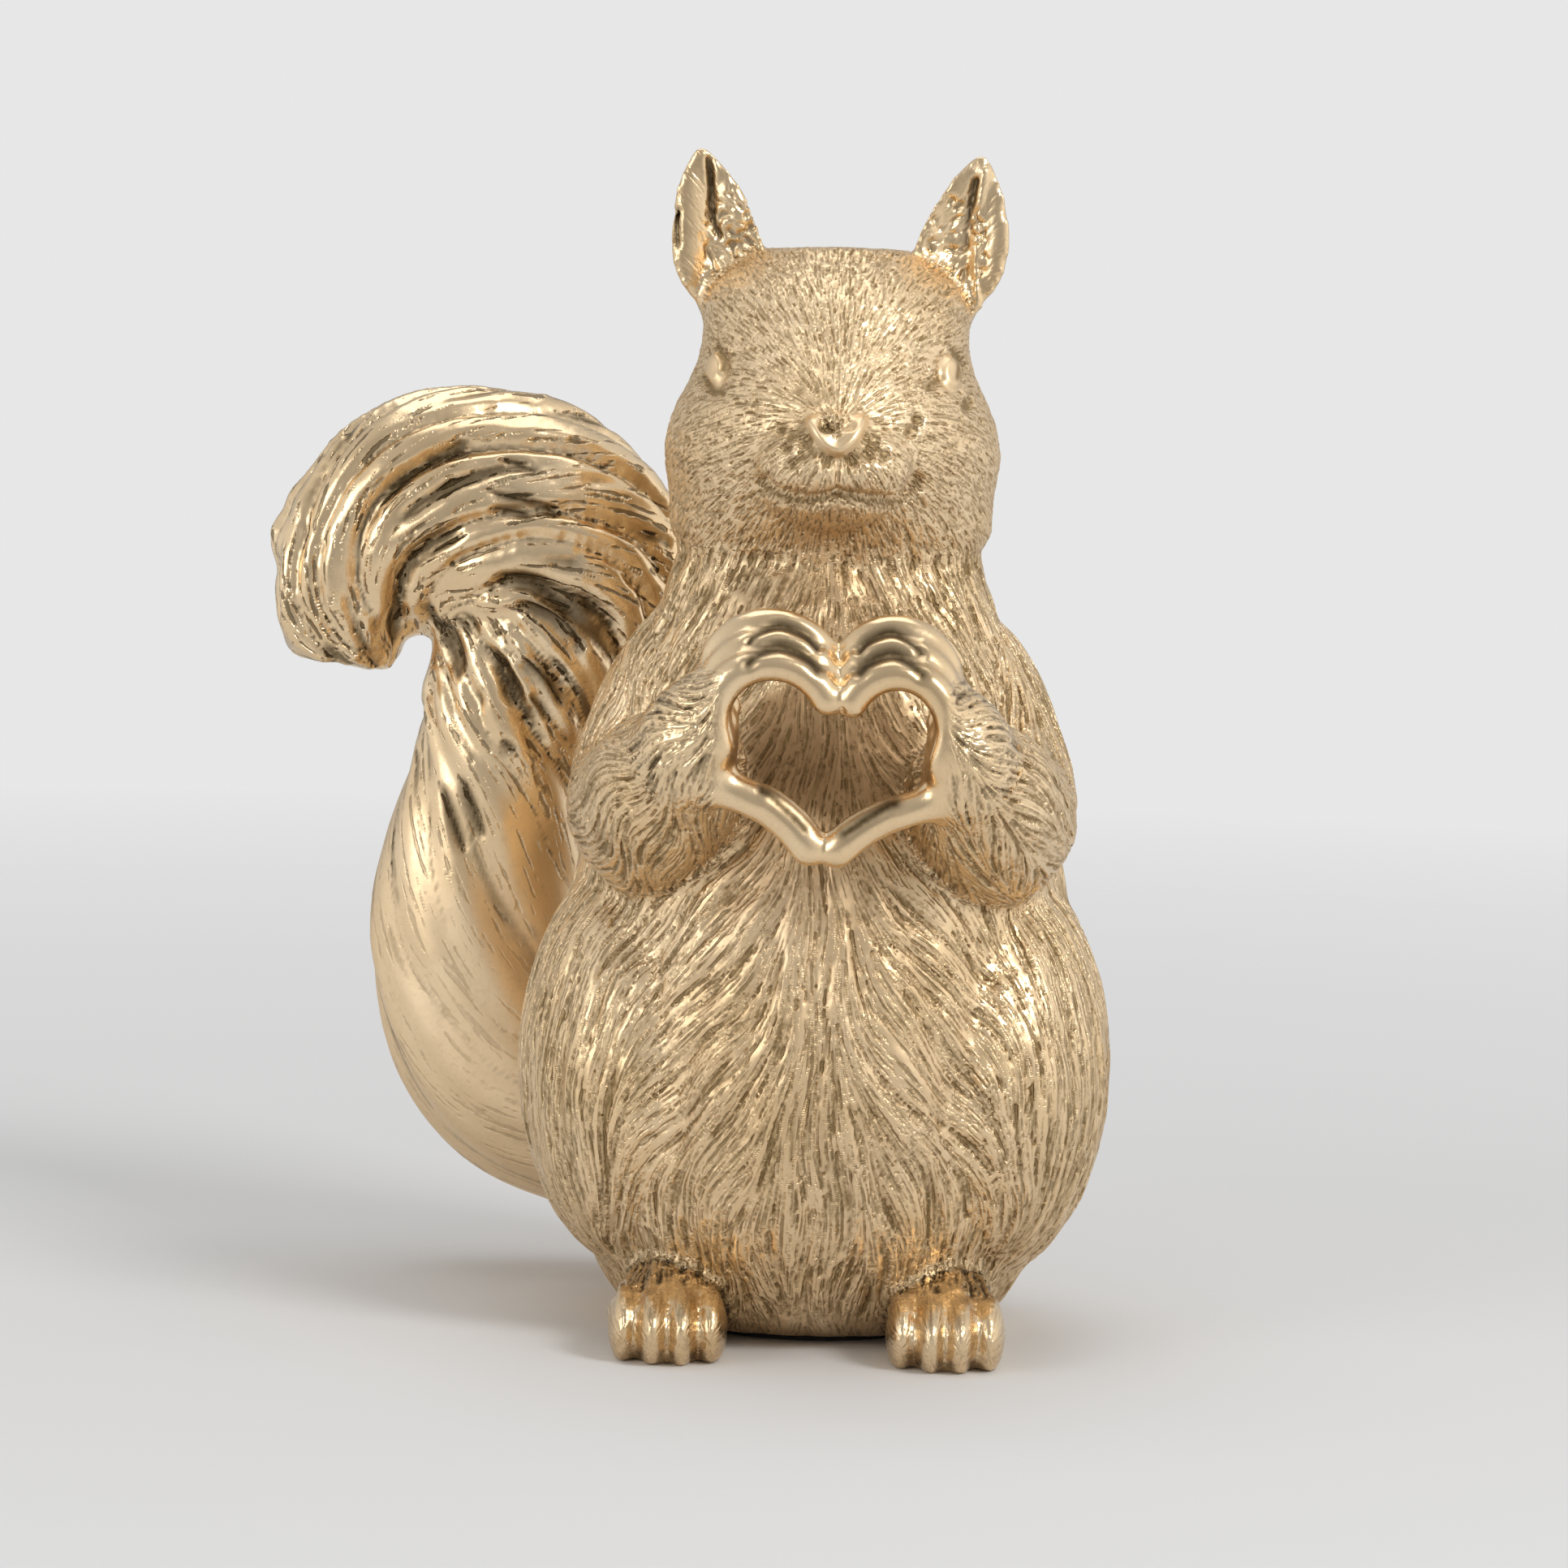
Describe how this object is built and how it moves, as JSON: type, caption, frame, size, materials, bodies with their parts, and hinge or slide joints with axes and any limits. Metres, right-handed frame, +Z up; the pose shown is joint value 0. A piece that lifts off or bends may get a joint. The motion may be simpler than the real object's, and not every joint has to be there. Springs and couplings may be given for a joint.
{
  "type": "squirrel figurine",
  "caption": "Seated squirrel ornament in gold-finished cast resin, bushy tail curled to one side and paws held together to frame a heart-shaped opening.",
  "frame": {"origin": "centre of the felt disc's underside, on the surface that the figurine stands on", "axes": "+Z up; the squirrel faces -Y; +X is the squirrel's left, and its tail curls towards -X"},
  "size_m": [0.1114, 0.0957, 0.1517],
  "materials": {
    "gold_fur": "satin gold over a fine fur texture, darker in the grooves",
    "gold_polish": "glossy gold with dark grooves",
    "bare_resin": "unpainted cast resin",
    "felt": "felt"
  },
  "bodies": {
    "root": {"body": "gold_fur", "head": "gold_fur", "right_arm": "gold_fur", "left_arm": "gold_fur", "right_ear": "gold_polish", "left_ear": "gold_polish", "right_paw": "gold_polish", "left_paw": "gold_polish", "right_foot": "gold_polish", "left_foot": "gold_polish", "tail": "gold_polish", "base_plug": "bare_resin", "felt_base": "felt"}
  },
  "joints": []
}
